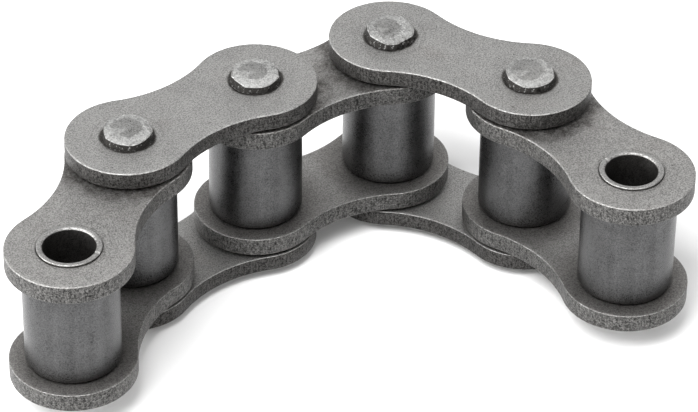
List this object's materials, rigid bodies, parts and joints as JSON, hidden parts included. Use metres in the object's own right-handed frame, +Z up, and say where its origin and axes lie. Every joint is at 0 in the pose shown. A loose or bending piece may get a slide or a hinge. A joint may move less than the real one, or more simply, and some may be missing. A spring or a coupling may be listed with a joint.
{
  "type": "roller conveyor chain strand",
  "caption": "Short bent strand of simplex steel roller chain: figure-eight plates, riveted pins, bushes and free rollers, open bushes at both ends.",
  "frame": {"origin": "bottom centre of the strand's box: midway along X and Y between its outermost plates, on the plane of the pins' lower ends", "axes": "+X along the first pin link, from the left end of the strand to the right; +Y towards the outside of the bend, away from the side the sprocket would be on; +Z up, along every pin, bush and roller axis"},
  "size_m": [0.1026, 0.0728, 0.035],
  "materials": {
    "inner_plate_steel": "tumbled and oiled, satin",
    "outer_plate_steel": "tumbled and oiled, satin",
    "bush_steel": "ground ends, satin",
    "roller_steel": "hardened, dark satin",
    "pin_steel": "riveted ends, satin"
  },
  "bodies": {
    "roller_link_2": {"roller_link_2_upper_plate": "inner_plate_steel", "roller_link_2_lower_plate": "inner_plate_steel", "bush_3": "bush_steel", "bush_4": "bush_steel"},
    "pin_link_1": {"pin_link_1_upper_plate": "outer_plate_steel", "pin_link_1_lower_plate": "outer_plate_steel", "pin_2": "pin_steel", "pin_3": "pin_steel"},
    "roller_link_1": {"roller_link_1_upper_plate": "inner_plate_steel", "roller_link_1_lower_plate": "inner_plate_steel", "bush_1": "bush_steel", "bush_2": "bush_steel"},
    "pin_link_2": {"pin_link_2_upper_plate": "outer_plate_steel", "pin_link_2_lower_plate": "outer_plate_steel", "pin_4": "pin_steel", "pin_5": "pin_steel"},
    "roller_link_3": {"roller_link_3_upper_plate": "inner_plate_steel", "roller_link_3_lower_plate": "inner_plate_steel", "bush_5": "bush_steel", "bush_6": "bush_steel"},
    "roller_1": {"roller_1": "roller_steel"},
    "roller_2": {"roller_2": "roller_steel"},
    "roller_3": {"roller_3": "roller_steel"},
    "roller_4": {"roller_4": "roller_steel"},
    "roller_5": {"roller_5": "roller_steel"},
    "roller_6": {"roller_6": "roller_steel"}
  },
  "joints": [
    {"name": "bend_3", "type": "hinge", "parent": "roller_link_2", "child": "pin_link_1", "pos_m": [0.00563, 0.02617, 0.0175], "axis": [0, 0, 1], "range_deg": [-68.4, 51.6]},
    {"name": "bend_2", "type": "hinge", "parent": "pin_link_1", "child": "roller_link_1", "pos_m": [-0.01977, 0.02617, 0.0175], "axis": [0, 0, 1], "range_deg": [-93.1, 26.9]},
    {"name": "bend_4", "type": "hinge", "parent": "roller_link_2", "child": "pin_link_2", "pos_m": [0.03076, 0.02245, 0.0175], "axis": [0, 0, 1], "range_deg": [-2.3, 117.7]},
    {"name": "bend_5", "type": "hinge", "parent": "pin_link_2", "child": "roller_link_3", "pos_m": [0.04105, -0.00077, 0.0175], "axis": [0, 0, 1], "range_deg": [-35.4, 84.6]},
    {"name": "roller_1_spin", "type": "hinge", "parent": "roller_link_1", "child": "roller_1", "pos_m": [-0.04105, 0.01229, 0.0175], "axis": [0, 0, 1], "continuous": true},
    {"name": "roller_2_spin", "type": "hinge", "parent": "roller_link_1", "child": "roller_2", "pos_m": [-0.01977, 0.02617, 0.0175], "axis": [0, 0, 1], "continuous": true},
    {"name": "roller_3_spin", "type": "hinge", "parent": "roller_link_2", "child": "roller_3", "pos_m": [0.00563, 0.02617, 0.0175], "axis": [0, 0, 1], "continuous": true},
    {"name": "roller_4_spin", "type": "hinge", "parent": "roller_link_2", "child": "roller_4", "pos_m": [0.03076, 0.02245, 0.0175], "axis": [0, 0, 1], "continuous": true},
    {"name": "roller_5_spin", "type": "hinge", "parent": "roller_link_3", "child": "roller_5", "pos_m": [0.04105, -0.00077, 0.0175], "axis": [0, 0, 1], "continuous": true},
    {"name": "roller_6_spin", "type": "hinge", "parent": "roller_link_3", "child": "roller_6", "pos_m": [0.04074, -0.02617, 0.0175], "axis": [0, 0, 1], "continuous": true}
  ]
}
